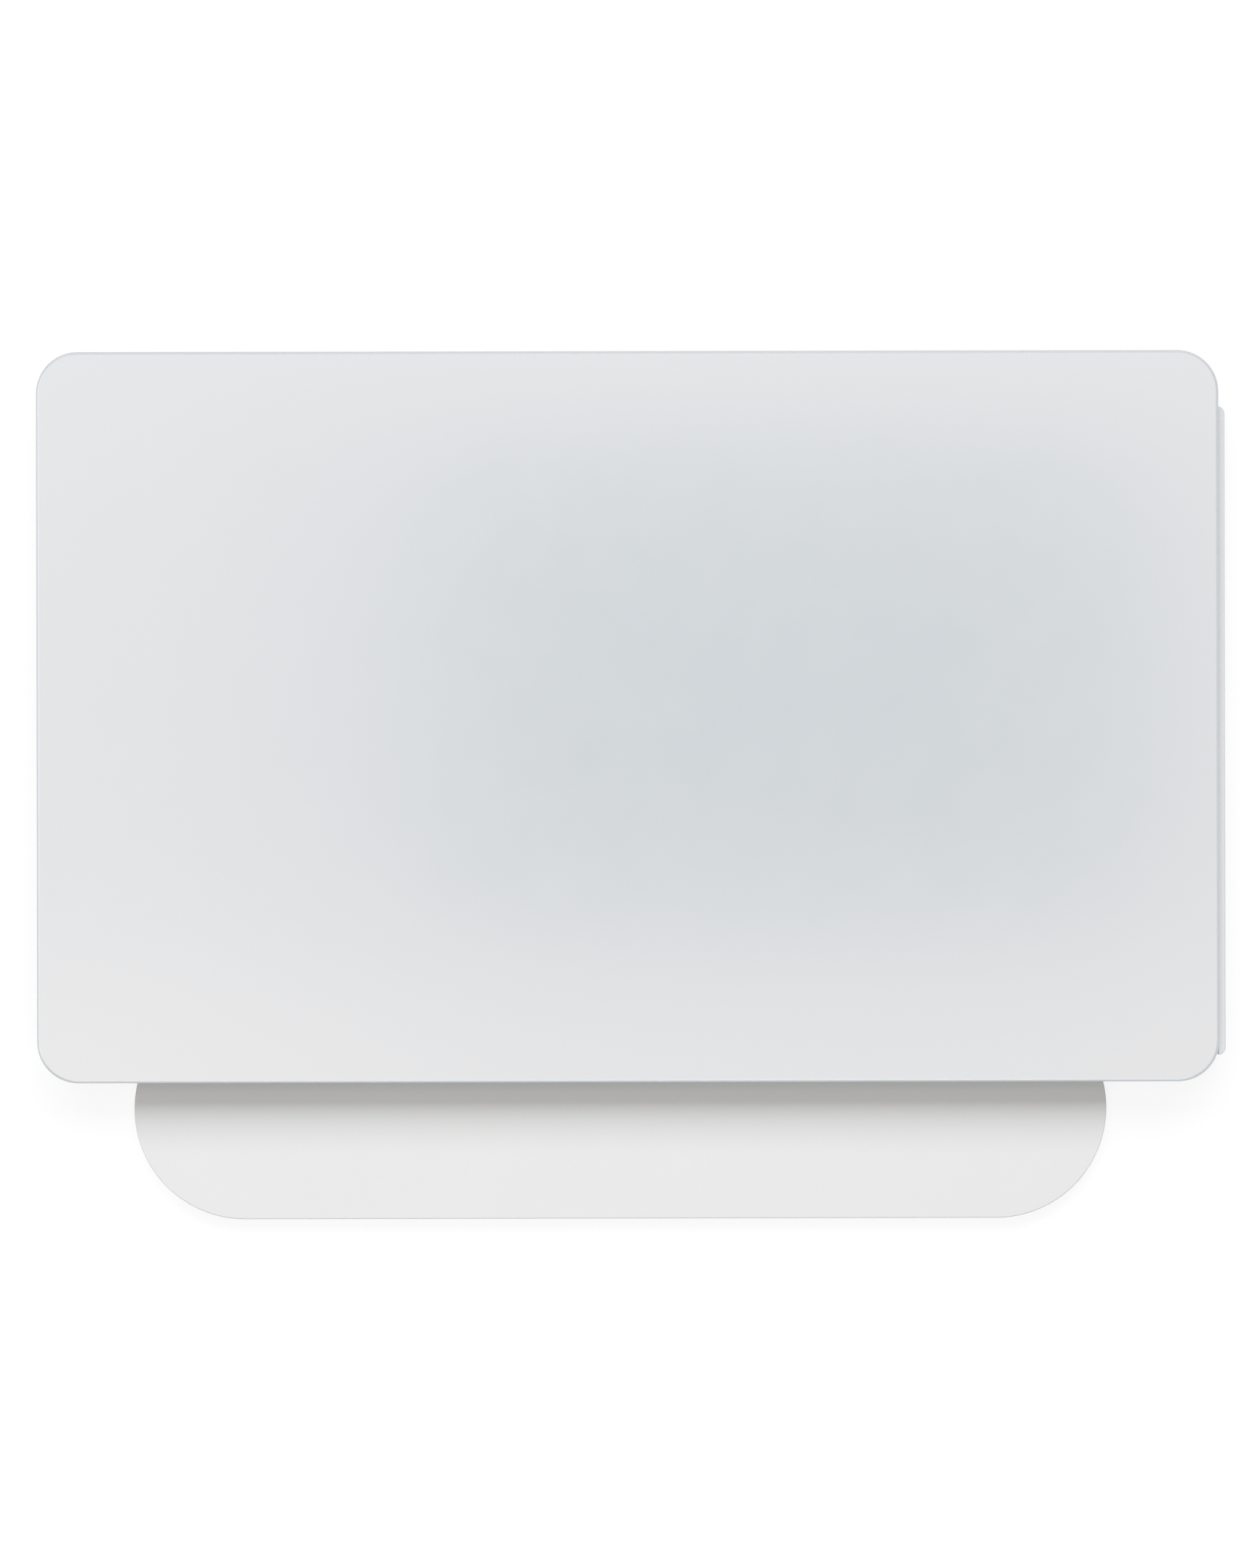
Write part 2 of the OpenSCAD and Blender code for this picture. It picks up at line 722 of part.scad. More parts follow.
on_plate() {
    tray();
    side_rail();
    front_lip();
    lip_screws();
    lip_pads();
    tray_feet();
    motor_base();
    motor_core();
    motor_coils();
    motor_terminal();
    motor_screws();
    motor_flex();
    beam_front_left();
    beam_front_right();
    beam_rear_left();
    beam_rear_right();
    strain_gauges();
    gauge_tails();
    levelling_shims();
    beam_screws();
    press_stops();
    beam_tip_discs();
    gel_pads();
    touch_glass();
    glass_adhesive();
    sensor_board();
    armature_plate();
    touch_controller();
    shield_can();
    motor_driver();
    force_amplifiers();
    board_passives();
    motor_socket();
    host_socket();
    socket_contacts();
    socket_latch();
}
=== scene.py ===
"""Looks of a haptic trackpad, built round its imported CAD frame. Lengths are in metres."""

import math

import bmesh
import bpy
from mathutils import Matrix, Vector


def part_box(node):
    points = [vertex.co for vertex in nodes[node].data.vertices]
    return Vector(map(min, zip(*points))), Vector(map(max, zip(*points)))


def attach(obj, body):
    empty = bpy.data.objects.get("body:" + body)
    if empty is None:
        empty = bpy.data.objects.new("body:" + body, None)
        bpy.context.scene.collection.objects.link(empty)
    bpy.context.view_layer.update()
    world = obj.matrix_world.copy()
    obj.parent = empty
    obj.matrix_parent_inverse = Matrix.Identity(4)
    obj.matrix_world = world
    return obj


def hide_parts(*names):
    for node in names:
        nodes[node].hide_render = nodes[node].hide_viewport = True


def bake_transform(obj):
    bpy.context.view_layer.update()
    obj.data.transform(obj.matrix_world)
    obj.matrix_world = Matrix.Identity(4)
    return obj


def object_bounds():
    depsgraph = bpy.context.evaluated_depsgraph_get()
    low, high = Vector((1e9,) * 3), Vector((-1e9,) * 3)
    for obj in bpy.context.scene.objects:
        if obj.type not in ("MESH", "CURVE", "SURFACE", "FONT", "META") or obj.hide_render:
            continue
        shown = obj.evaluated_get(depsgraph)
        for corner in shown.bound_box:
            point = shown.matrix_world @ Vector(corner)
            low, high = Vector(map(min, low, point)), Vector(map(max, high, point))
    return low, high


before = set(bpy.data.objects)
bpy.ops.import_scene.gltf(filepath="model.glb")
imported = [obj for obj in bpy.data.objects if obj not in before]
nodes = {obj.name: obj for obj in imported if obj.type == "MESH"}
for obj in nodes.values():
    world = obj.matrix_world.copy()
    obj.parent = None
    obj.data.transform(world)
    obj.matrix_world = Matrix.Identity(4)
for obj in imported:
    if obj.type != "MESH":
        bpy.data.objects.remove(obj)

cad_low, cad_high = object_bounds()
MM = 0.001

# The photograph's frame, and where its plate lies in it, in pixels and degrees.
IMAGE_W = 1725
IMAGE_H = 2156
PLATE_LEFT_PX = 50.0
PLATE_RIGHT_PX = 1676.0
PLATE_MIDDLE_PX = 985.4
PLATE_TURN_DEG = 0.11
CAMERA_HEIGHT = 0.6
SENSOR_MM = 36.0


# Camera, light and floor

def add_camera():
    """Looks straight down, with the plate where the photograph has it."""
    low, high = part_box("touch_glass")
    pixel = (high.x - low.x) / (PLATE_RIGHT_PX - PLATE_LEFT_PX)
    data = bpy.data.cameras.new("camera")
    data.sensor_width = SENSOR_MM
    data.lens = SENSOR_MM * CAMERA_HEIGHT / (IMAGE_H * pixel)
    camera = bpy.data.objects.new("camera", data)
    plate_x_px = (PLATE_LEFT_PX + PLATE_RIGHT_PX) / 2
    camera.location = (
        (low.x + high.x) / 2 + (IMAGE_W / 2 - plate_x_px) * pixel,
        (low.y + high.y) / 2 - (IMAGE_H / 2 - PLATE_MIDDLE_PX) * pixel,
        high.z + CAMERA_HEIGHT,
    )
    camera.rotation_euler.z = math.radians(-PLATE_TURN_DEG)
    bpy.context.scene.collection.objects.link(camera)
    bpy.context.scene.camera = camera


def add_lamp(name, place, aim, size, power, colour):
    """A soft rectangular lamp."""
    data = bpy.data.lights.new(name, "AREA")
    data.shape = "RECTANGLE"
    data.size, data.size_y = size
    data.color = colour
    data.energy = power
    lamp = bpy.data.objects.new(name, data)
    lamp.location = place
    lamp.rotation_euler = (place - aim).to_track_quat("Z", "Y").to_euler()
    lamp.visible_camera = False
    bpy.context.scene.collection.objects.link(lamp)
    return lamp


def add_softbox(name, azimuth, elevation, distance, size, share, colour):
    """A lamp at a compass angle and height over the plate, where azimuth 0 is the rear and 90 the right.
    share is how white a white card on the plate gets from this lamp alone."""
    turn, rise = math.radians(azimuth), math.radians(elevation)
    aim = Vector((0, 0, cad_high.z))
    way = Vector((math.sin(turn) * math.cos(rise), math.cos(turn) * math.cos(rise), math.sin(rise)))
    power = share * math.pi ** 2 * distance ** 2 / math.sin(rise)
    return add_lamp(name, aim + way * distance, aim, size, power, colour)


def add_panel(name, left, right, front, rear, brightness, colour):
    """A flat panel over the camera, which the plate mirrors. A brightness of 1 is white."""
    place = Vector(((left + right) / 2, (front + rear) / 2, PANEL_HEIGHT))
    size = (right - left, rear - front)
    power = brightness * math.pi * size[0] * size[1]
    add_lamp(name, place, place - Vector((0, 0, 1)), size, power, colour)


COOL_LIGHT = (0.95, 0.98, 1.0)
WARM_LIGHT = (1.0, 0.745, 0.61)
WORLD_LIGHT = 0.22
WORLD_COLOUR = (0.96, 0.99, 1.0)
PANEL_HEIGHT = 0.8

# Tiles of the overhead panels: left, right, front, rear, brightness. They leave a gap in the middle.
PANELS = {
    "left_front": (-0.28, -0.13, -0.19, -0.055, 1.20),
    "left_middle": (-0.28, -0.13, -0.055, 0.12, 0.73),
    "left_rear": (-0.28, -0.13, 0.12, 0.23, 0.87),
    "near_front": (-0.13, -0.06, -0.19, -0.055, 1.07),
    "near_middle": (-0.13, -0.06, -0.055, 0.12, 0.56),
    "near_rear": (-0.13, -0.06, 0.12, 0.23, 0.87),
    "front": (-0.06, 0.165, -0.19, -0.048, 0.98),
    "rear": (-0.06, 0.165, 0.112, 0.23, 1.03),
    "right_front": (0.165, 0.28, -0.19, -0.055, 1.12),
    "right_middle": (0.165, 0.28, -0.055, 0.12, 0.80),
    "right_rear": (0.165, 0.28, 0.12, 0.23, 0.95),
}
# Tiles further out, which light up the rounded edge of the plate in front and on the left.
EDGE_PANELS = {
    "edge_front": (-0.28, 0.28, -0.55, -0.19, 1.00),
    "edge_left": (-0.55, -0.28, -0.19, 0.23, 1.00),
}


# Softboxes: azimuth, elevation, distance, size, share.
SOFTBOXES = {
    "key": (0, 44, 0.9, (1.2, 0.53), 0.71),
    "front_fill": (180, 50, 0.9, (0.9, 0.45), 0.11),
    "left_fill": (270, 45, 0.9, (0.8, 0.8), 0.05),
}
# Softboxes that the plate doesn't mirror.
UNMIRRORED = ("key", "front_fill")


def add_lights():
    """A softbox behind for the lip's shadow, fills in front and on the left, and panels overhead
    round a gap, so that the plate mirrors more light towards its edges than in its middle."""
    for name, box in SOFTBOXES.items():
        lamp = add_softbox(name, *box, COOL_LIGHT)
        lamp.visible_glossy = name not in UNMIRRORED
    for name, tile in PANELS.items():
        add_panel("panel_" + name, *tile, WARM_LIGHT)
    for name, tile in EDGE_PANELS.items():
        add_panel("panel_" + name, *tile, COOL_LIGHT)


def seen_ray(tree):
    """1 for the rays that show a background: camera, mirror and see-through rays,
    unless they come from a matt surface."""
    path = add_node(tree, "LightPath").outputs
    first = add_node(tree, "Math", {0: path["Is Camera Ray"], 1: path["Is Glossy Ray"]},
                     operation="MAXIMUM").outputs[0]
    second = add_node(tree, "Math", {0: first, 1: path["Is Transmission Ray"]},
                      operation="MAXIMUM").outputs[0]
    return add_node(tree, "Math", {0: second, 1: path["Diffuse Depth"]},
                    operation="SUBTRACT", use_clamp=True).outputs[0]


def add_world():
    """White where it is seen, and a plain soft light from all round."""
    world = bpy.data.worlds.new("world")
    bpy.context.scene.world = world
    world.use_nodes = True
    tree = world.node_tree
    soft = tree.nodes["Background"]
    soft.inputs["Color"].default_value = (*WORLD_COLOUR, 1.0)
    soft.inputs["Strength"].default_value = WORLD_LIGHT
    white = add_node(tree, "Background", {"Color": (1, 1, 1, 1), "Strength": 1.0})
    mixed = add_node(tree, "MixShader", {
        0: seen_ray(tree), 1: soft.outputs[0], 2: white.outputs[0]})
    tree.links.new(mixed.outputs[0], tree.nodes["World Output"].inputs["Surface"])


FLOOR_HALF = 3.0
FLOOR_DROP = 0.02 * MM
FLOOR_COLOUR = (0.9, 0.9, 0.9)
FLOOR_ROUGHNESS = 0.9
FLOOR_GLOW = 0.8
FLOOR_GLOW_STRENGTH = 1.06
FLOOR_NEAR = 0.25
FLOOR_FAR = 1.1


def add_floor():
    """A white floor that keeps a faint shadow of the object, and is evenly white further out."""
    bm = bmesh.new()
    corners = ((-1, -1), (1, -1), (1, 1), (-1, 1))
    bm.faces.new([bm.verts.new((x * FLOOR_HALF, y * FLOOR_HALF, 0)) for x, y in corners])
    mesh = bpy.data.meshes.new("floor")
    bm.to_mesh(mesh)
    bm.free()
    floor = bpy.data.objects.new("floor", mesh)
    floor.location.z = -FLOOR_DROP
    bpy.context.scene.collection.objects.link(floor)
    made, tree, shader = material("white_floor", FLOOR_COLOUR, FLOOR_ROUGHNESS)
    glow = add_node(tree, "Emission", {"Color": (1, 1, 1, 1), "Strength": FLOOR_GLOW_STRENGTH})
    coords = add_node(tree, "TexCoord").outputs["Object"]
    away = add_node(tree, "VectorMath", {0: coords}, operation="LENGTH").outputs["Value"]
    even = ranged(tree, away, FLOOR_GLOW, 1.0, FLOOR_NEAR, FLOOR_FAR)
    share = add_node(tree, "Math", {0: seen_ray(tree), 1: even}, operation="MULTIPLY")
    mixed = add_node(tree, "MixShader", {
        0: share.outputs[0], 1: shader.outputs[0], 2: glow.outputs[0]})
    tree.links.new(mixed.outputs[0], tree.nodes["Material Output"].inputs["Surface"])
    mesh.materials.append(made)


# Materials

def add_node(tree, kind, inputs=None, **settings):
    """A shader node with its settings, and with values or links on its sockets."""
    node = tree.nodes.new("ShaderNode" + kind)
    for key, value in settings.items():
        setattr(node, key, value)
    for key, value in (inputs or {}).items():
        if isinstance(value, bpy.types.NodeSocket):
            tree.links.new(value, node.inputs[key])
        else:
            node.inputs[key].default_value = value
    return node


def material(name, colour, roughness, sockets=None):
    """A principled material, with its tree and its shader."""
    made = bpy.data.materials.new(name)
    made.use_nodes = True
    shader = made.node_tree.nodes["Principled BSDF"]
    shader.inputs["Base Color"].default_value = (*colour, 1.0)
    shader.inputs["Roughness"].default_value = roughness
    for key, value in (sockets or {}).items():
        shader.inputs[key].default_value = value
    return made, made.node_tree, shader


def placed(tree, size, stretch=(1, 1, 1)):
    """Object coordinates in units of size, drawn out along an axis by stretch."""
    coords = add_node(tree, "TexCoord").outputs["Object"]
    scale = [1 / (size * s) for s in stretch]
    return add_node(tree, "Mapping", {"Vector": coords, "Scale": scale}).outputs["Vector"]


def noise(tree, size, stretch=(1, 1, 1), detail=3.0):
    """Noise with grains of that size."""
    vector = placed(tree, size, stretch)
    return add_node(tree, "TexNoise", {
        "Vector": vector, "Scale": 1.0, "Detail": detail}).outputs["Fac"]


def tint(tree, factor, dark, light):
    """A colour that runs from dark to light with factor."""
    node = add_node(tree, "Mix", {0: factor, 6: (*dark, 1), 7: (*light, 1)}, data_type="RGBA")
    return node.outputs[2]


def ranged(tree, factor, low, high, start=0.3, end=0.7):
    """factor from start to end, spread to low to high."""
    return add_node(tree, "MapRange", {
        "Value": factor, "From Min": start, "From Max": end,
        "To Min": low, "To Max": high}).outputs["Result"]


def relief(tree, shader, height, depth, under=None):
    """Bump of that depth, over another bump if there is one."""
    inputs = {"Height": height, "Distance": depth, "Strength": 1.0}
    if under is not None:
        inputs["Normal"] = under
    normal = add_node(tree, "Bump", inputs).outputs["Normal"]
    tree.links.new(normal, shader.inputs["Normal"])
    return normal


def shaded(colour, factor):
    """A colour made darker or lighter."""
    return tuple(min(1.0, c * factor) for c in colour)


# Size of the slow blotches, in grains.
BLOTCH = 25


def grained(name, colour, roughness, grain, contrast, depth, stretch=(1, 1, 1),
            rough_spread=0.06, sockets=None):
    """A material with grain in its colour, roughness and relief, and slow blotches in its roughness."""
    made, tree, shader = material(name, colour, roughness, sockets)
    fine = noise(tree, grain, stretch)
    slow = noise(tree, grain * BLOTCH, stretch, 2.0)
    both = add_node(tree, "Math", {0: fine, 1: slow}, operation="ADD").outputs[0]
    half = add_node(tree, "Math", {0: both, 1: 0.5}, operation="MULTIPLY").outputs[0]
    colours = tint(tree, half, shaded(colour, 1 - contrast), shaded(colour, 1 + contrast))
    tree.links.new(colours, shader.inputs["Base Color"])
    rough = ranged(tree, half, roughness - rough_spread, roughness + rough_spread)
    tree.links.new(rough, shader.inputs["Roughness"])
    normal = relief(tree, shader, fine, depth)
    return made, tree, shader, normal


METAL = {"Metallic": 1.0}


def make_materials():
    """Every finish on the part, by name."""
    looks = {}

    def keep(name, *args, **more):
        looks[name], tree, shader, normal = grained(name, *args, **more)
        return tree, shader, normal

    keep("glass_face", (0.597, 0.633, 0.661), 0.17, 0.30 * MM, 0.012, 0.0002 * MM,
         rough_spread=0.02, sockets={"Metallic": 0.30})
    keep("glass_edge", (0.62, 0.635, 0.65), 0.22, 0.20 * MM, 0.012, 0.0002 * MM,
         rough_spread=0.01, sockets={"Metallic": 0.7})
    keep("lip_plastic", (0.824, 0.82, 0.816), 0.55, 0.28 * MM, 0.03, 0.006 * MM)
    keep("tray_aluminium", (0.62, 0.63, 0.64), 0.42, 0.12 * MM, 0.06, 0.004 * MM, sockets=METAL)
    keep("rail_aluminium", (0.66, 0.69, 0.72), 0.34, 0.10 * MM, 0.05, 0.001 * MM,
         stretch=(1, 40, 1), sockets={"Metallic": 0.4})
    keep("rubber", (0.035, 0.036, 0.038), 0.72, 0.15 * MM, 0.15, 0.010 * MM)
    keep("screw_steel", (0.55, 0.55, 0.56), 0.28, 0.20 * MM, 0.05, 0.001 * MM, sockets=METAL)
    keep("spring_steel", (0.50, 0.49, 0.47), 0.30, 0.08 * MM, 0.08, 0.002 * MM,
         stretch=(30, 1, 1), sockets=METAL)
    keep("shim_brass", (0.72, 0.53, 0.25), 0.32, 0.10 * MM, 0.06, 0.002 * MM,
         stretch=(1, 20, 1), sockets=METAL)
    keep("base_steel", (0.46, 0.46, 0.46), 0.40, 0.10 * MM, 0.08, 0.003 * MM,
         stretch=(25, 1, 1), sockets=METAL)
    keep("copper_wire", (0.62, 0.26, 0.11), 0.27, 0.25 * MM, 0.10, 0.001 * MM, sockets=METAL)
    keep("chip_plastic", (0.022, 0.022, 0.024), 0.55, 0.08 * MM, 0.20, 0.004 * MM)
    keep("shield_tin", (0.56, 0.56, 0.55), 0.30, 0.15 * MM, 0.05, 0.002 * MM, sockets=METAL)
    keep("passive_ceramic", (0.30, 0.21, 0.13), 0.50, 0.06 * MM, 0.10, 0.002 * MM)
    keep("socket_plastic", (0.60, 0.57, 0.50), 0.50, 0.10 * MM, 0.05, 0.004 * MM)
    keep("latch_plastic", (0.030, 0.028, 0.026), 0.45, 0.10 * MM, 0.15, 0.004 * MM)
    keep("gold", (0.90, 0.66, 0.28), 0.24, 0.08 * MM, 0.05, 0.001 * MM, sockets=METAL)
    keep("gel", (0.55, 0.62, 0.66), 0.20, 0.40 * MM, 0.04, 0.004 * MM,
         sockets={"Transmission Weight": 0.35, "IOR": 1.41})
    keep("adhesive", (0.52, 0.52, 0.50), 0.45, 0.20 * MM, 0.05, 0.003 * MM)
    laminated(*keep("core_steel", (0.42, 0.42, 0.43), 0.38, 0.10 * MM, 0.08, 0.002 * MM,
                    sockets=METAL))
    routed(*keep("board", (0.016, 0.060, 0.040), 0.35, 0.20 * MM, 0.15, 0.002 * MM))
    for name, direction in (("polyimide", "Y"), ("polyimide_tail", "X")):
        traced(*keep(name, (0.42, 0.19, 0.035), 0.32, 0.15 * MM, 0.08, 0.002 * MM), direction)
    return looks


# The wave texture runs through this many periods in one unit.
WAVE_PERIODS = 20 / (2 * math.pi)


def bands(tree, size, direction):
    """Smooth bands of that period across a direction, from 0 to 1."""
    return add_node(tree, "TexWave", {
        "Vector": placed(tree, size * WAVE_PERIODS), "Scale": 1.0},
        bands_direction=direction).outputs["Fac"]


SHEET_PITCH = 0.1 * MM
SHEET_DEPTH = 0.006 * MM


def laminated(tree, shader, normal):
    """Adds the edges of stacked sheets, one above the other."""
    stack = bands(tree, SHEET_PITCH, "Z")
    relief(tree, shader, stack, SHEET_DEPTH, normal)


def painted(tree, shader, mask, colour):
    """Another colour where the mask is 1."""
    base = shader.inputs["Base Color"].links[0].from_socket
    mixed = add_node(tree, "Mix", {0: mask, 6: base, 7: (*colour, 1)}, data_type="RGBA")
    tree.links.new(mixed.outputs[2], shader.inputs["Base Color"])


TRACK_DEPTH = 0.008 * MM
TRACK_EDGE = (0.55, 0.65)
FLEX_PITCH = 0.5 * MM
FLEX_COPPER = (0.60, 0.30, 0.08)
BOARD_FIELD = 11 * MM
FIELD_EDGE = (0.49, 0.51)
BOARD_PITCH = 0.9 * MM
BOARD_TRACK = (0.034, 0.125, 0.078)
VIA_PITCH = 1.8 * MM
VIA_EDGE = (0.13, 0.16)
VIA_PATCH = 7 * MM
PATCH_EDGE = (0.52, 0.54)
VIA_TIN = (0.42, 0.36, 0.24)


def traced(tree, shader, normal, direction):
    """Adds the straight copper tracks of a flex, under its surface."""
    tracks = ranged(tree, bands(tree, FLEX_PITCH, direction), 0.0, 1.0, *TRACK_EDGE)
    painted(tree, shader, tracks, FLEX_COPPER)
    relief(tree, shader, tracks, TRACK_DEPTH, normal)


def routed(tree, shader, normal):
    """Adds a board's tracks, which turn from field to field, and its tinned vias."""
    fields = add_node(tree, "TexVoronoi", {"Vector": placed(tree, BOARD_FIELD), "Scale": 1.0},
                      distance="CHEBYCHEV", voronoi_dimensions="2D").outputs["Color"]
    turned = ranged(tree, fields, 0.0, 1.0, *FIELD_EDGE)
    across, along = bands(tree, BOARD_PITCH, "X"), bands(tree, BOARD_PITCH, "Y")
    lanes = add_node(tree, "Mix", {0: turned, 2: across, 3: along}).outputs[0]
    tracks = ranged(tree, lanes, 0.0, 1.0, *TRACK_EDGE)
    painted(tree, shader, tracks, BOARD_TRACK)
    grid = add_node(tree, "TexVoronoi", {
        "Vector": placed(tree, VIA_PITCH), "Scale": 1.0, "Randomness": 0.0},
        voronoi_dimensions="2D").outputs["Distance"]
    dots = ranged(tree, grid, 1.0, 0.0, *VIA_EDGE)
    some = ranged(tree, noise(tree, VIA_PATCH), 0.0, 1.0, *PATCH_EDGE)
    vias = add_node(tree, "Math", {0: dots, 1: some}, operation="MULTIPLY").outputs[0]
    painted(tree, shader, vias, VIA_TIN)
    raised = add_node(tree, "Math", {0: tracks, 1: vias}, operation="MAXIMUM").outputs[0]
    relief(tree, shader, raised, TRACK_DEPTH, normal)


# Mesh building

# A length below NO_LENGTH is none. Points join within JOIN_REACH on built rings and within SAME_POINT
# on CAD meshes, and a cut moves to points within CUT_REACH.
NO_LENGTH = 1e-9
JOIN_REACH = 1e-7
SAME_POINT = 1e-6
CUT_REACH = 5e-6
# Faces that turn by less than FLAT_ANGLE are one. Edges are crisp past SHARP_ANGLE, and rounded on CAD
# meshes past BEVEL_ANGLE.
FLAT_ANGLE = math.radians(0.5)
SHARP_ANGLE = math.radians(42)
BEVEL_ANGLE = math.radians(35)


def outline(width, depth, radius, z, centre=(0, 0), steps=8):
    """An anticlockwise ring of a rounded rectangle. A full radius makes a stadium or a circle."""
    radius = max(0.0, min(radius, width / 2, depth / 2))
    run_x, run_y = width / 2 - radius, depth / 2 - radius
    ring = []
    for quarter, (sx, sy) in enumerate(((1, 1), (-1, 1), (-1, -1), (1, -1))):
        straight = run_y if quarter % 2 else run_x
        count = steps + 1 if straight > NO_LENGTH else steps
        for i in range(count):
            angle = math.pi / 2 * (quarter + i / steps)
            ring.append(Vector((centre[0] + sx * run_x + radius * math.cos(angle),
                                centre[1] + sy * run_y + radius * math.sin(angle), z)))
    return ring


def skin(bm, rings, caps=(True, True)):
    """Faces between rings of equally many points, with flat ends. Returns the rows of vertices."""
    rows = [[bm.verts.new(p) for p in ring] for ring in rings]
    count = len(rows[0])
    for low, high in zip(rows, rows[1:]):
        for i in range(count):
            j = (i + 1) % count
            bm.faces.new((low[i], low[j], high[j], high[i]))
    if caps[0]:
        bm.faces.new(list(reversed(rows[0])))
    if caps[1]:
        bm.faces.new(rows[-1])
    return rows


def edge_profile(bottom, top, low, high, steps=4):
    """(inset, z) points up the side of a slab whose lower and upper edges are rounded."""
    turns = [math.pi / 2 * i / steps for i in range(steps + 1)]
    points = [(low * (1 - math.sin(a)), bottom + low * (1 - math.cos(a))) for a in turns]
    points += [(high * (1 - math.cos(a)), top - high * (1 - math.sin(a))) for a in turns]
    return points


def slab(bm, low, high, radius, profile, steps=8, caps=(True, True)):
    """A slab that fills a box's plan, with rounded corners and a profile up its side."""
    centre = ((low.x + high.x) / 2, (low.y + high.y) / 2)
    width, depth = high.x - low.x, high.y - low.y
    rings = [outline(width - 2 * inset, depth - 2 * inset, radius - inset, z, centre, steps)
             for inset, z in profile]
    return skin(bm, rings, caps)


PIT_STEPS = 7


def pitted_cap(bm, rim, pits, depth, floor_index=0):
    """Closes a rim with a flat face that has round pits (x, y, radius), each depth deep in z,
    whose floors have the material of that index."""
    count = len(rim)
    edges = [bm.edges.get((rim[i], rim[(i + 1) % count])) for i in range(count)]
    for x, y, radius in pits:
        ring = outline(2 * radius, 2 * radius, radius, rim[0].co.z, (x, y), PIT_STEPS)
        floor = [p + Vector((0, 0, depth)) for p in ring]
        rows = skin(bm, [ring, floor], (False, True))
        bm.faces.get(rows[1]).material_index = floor_index
        mouth = rows[0]
        edges += [bm.edges.get((mouth[i], mouth[(i + 1) % len(mouth)]))
                  for i in range(len(mouth))]
    bmesh.ops.triangle_fill(bm, use_beauty=True, edges=edges)


def solids(node):
    """The boxes (low, high) of a node's separate solids."""
    bm = bmesh.new()
    bm.from_mesh(nodes[node].data)
    bmesh.ops.remove_doubles(bm, verts=bm.verts, dist=SAME_POINT)
    left = set(bm.verts)
    boxes = []
    while left:
        found, queue = [], [left.pop()]
        while queue:
            vert = queue.pop()
            found.append(vert.co.copy())
            for edge in vert.link_edges:
                other = edge.other_vert(vert)
                if other in left:
                    left.remove(other)
                    queue.append(other)
        boxes.append((Vector(map(min, zip(*found))), Vector(map(max, zip(*found)))))
    bm.free()
    return sorted(boxes, key=lambda b: (round(b[0].y, 5), round(b[0].x, 5)))


def finish_mesh(name, bm, *materials, weighted=True):
    """Turns built faces into an object with smooth sides and crisp edges. Weighted normals keep
    its flat faces flat beside rounded edges."""
    bmesh.ops.remove_doubles(bm, verts=bm.verts, dist=JOIN_REACH)
    bmesh.ops.recalc_face_normals(bm, faces=bm.faces)
    mesh = bpy.data.meshes.new(name)
    bm.to_mesh(mesh)
    bm.free()
    mesh.shade_smooth()
    mesh.set_sharp_from_angle(angle=SHARP_ANGLE)
    for made in materials:
        mesh.materials.append(made)
    piece = bpy.data.objects.new(name, mesh)
    bpy.context.scene.collection.objects.link(piece)
    if weighted:
        piece.modifiers.new("normals", "WEIGHTED_NORMAL").keep_sharp = True
    return piece


def settle(piece, body, slot, *replaced):
    """Puts a piece on its body, in place of its CAD nodes."""
    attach(piece, body)
    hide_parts(*replaced)


def bend(piece, replaced):
    """Bakes a piece's placement into its mesh, in place of its CAD node."""
    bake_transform(piece)
    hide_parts(replaced)


def dress(node, made, bevel):
    """Keeps a CAD node, with small rounded edges and a finish."""
    piece = nodes[node]
    for holder in piece.material_slots:
        holder.material = made
    piece.modifiers.new("weld", "WELD").merge_threshold = SAME_POINT
    flat = piece.modifiers.new("flat", "DECIMATE")
    flat.decimate_type = "DISSOLVE"
    flat.angle_limit = FLAT_ANGLE
    edge = piece.modifiers.new("edge", "BEVEL")
    edge.width = bevel
    edge.segments = 2
    edge.limit_method = "ANGLE"
    edge.angle_limit = BEVEL_ANGLE
    piece.modifiers.new("normals", "WEIGHTED_NORMAL")


def copy_cut(bm, node, box, axis, cuts):
    """Adds a copy of the node's solid in that box, cut across an axis so that it can bend."""
    low, high = box
    part = bmesh.new()
    part.from_mesh(nodes[node].data)
    bmesh.ops.remove_doubles(part, verts=part.verts, dist=SAME_POINT)
    margin = Vector((1, 1, 1)) * SAME_POINT
    outside = [v for v in part.verts
               if any(v.co[i] < low[i] - margin[i] or v.co[i] > high[i] + margin[i]
                      for i in range(3))]
    bmesh.ops.delete(part, geom=outside, context="VERTS")
    bmesh.ops.dissolve_limit(part, angle_limit=FLAT_ANGLE, verts=part.verts, edges=part.edges)
    normal = Vector((0, 0, 0))
    normal[axis] = 1
    for k in range(1, cuts):
        point = low + (high - low) * (k / cuts)
        bmesh.ops.bisect_plane(part, geom=list(part.verts) + list(part.edges) + list(part.faces),
                               plane_co=point, plane_no=normal, dist=CUT_REACH)
    bmesh.ops.dissolve_degenerate(part, edges=part.edges, dist=SAME_POINT)
    mesh = bpy.data.meshes.new("part")
    part.to_mesh(mesh)
    part.free()
    bm.from_mesh(mesh)
    bpy.data.meshes.remove(mesh)


# Pieces in the photograph

PLATE_CORNER = 5.6 * MM
GLASS_EDGE_IN = 0.42 * MM
GLASS_EDGE_DOWN = 0.32 * MM
GLASS_EDGE_STEPS = 6
GLASS_LOWER_EDGE = 0.08 * MM
# Faces whose normal rises more than this are the plate's face, and the others its edge.
FACE_RISE = 0.99


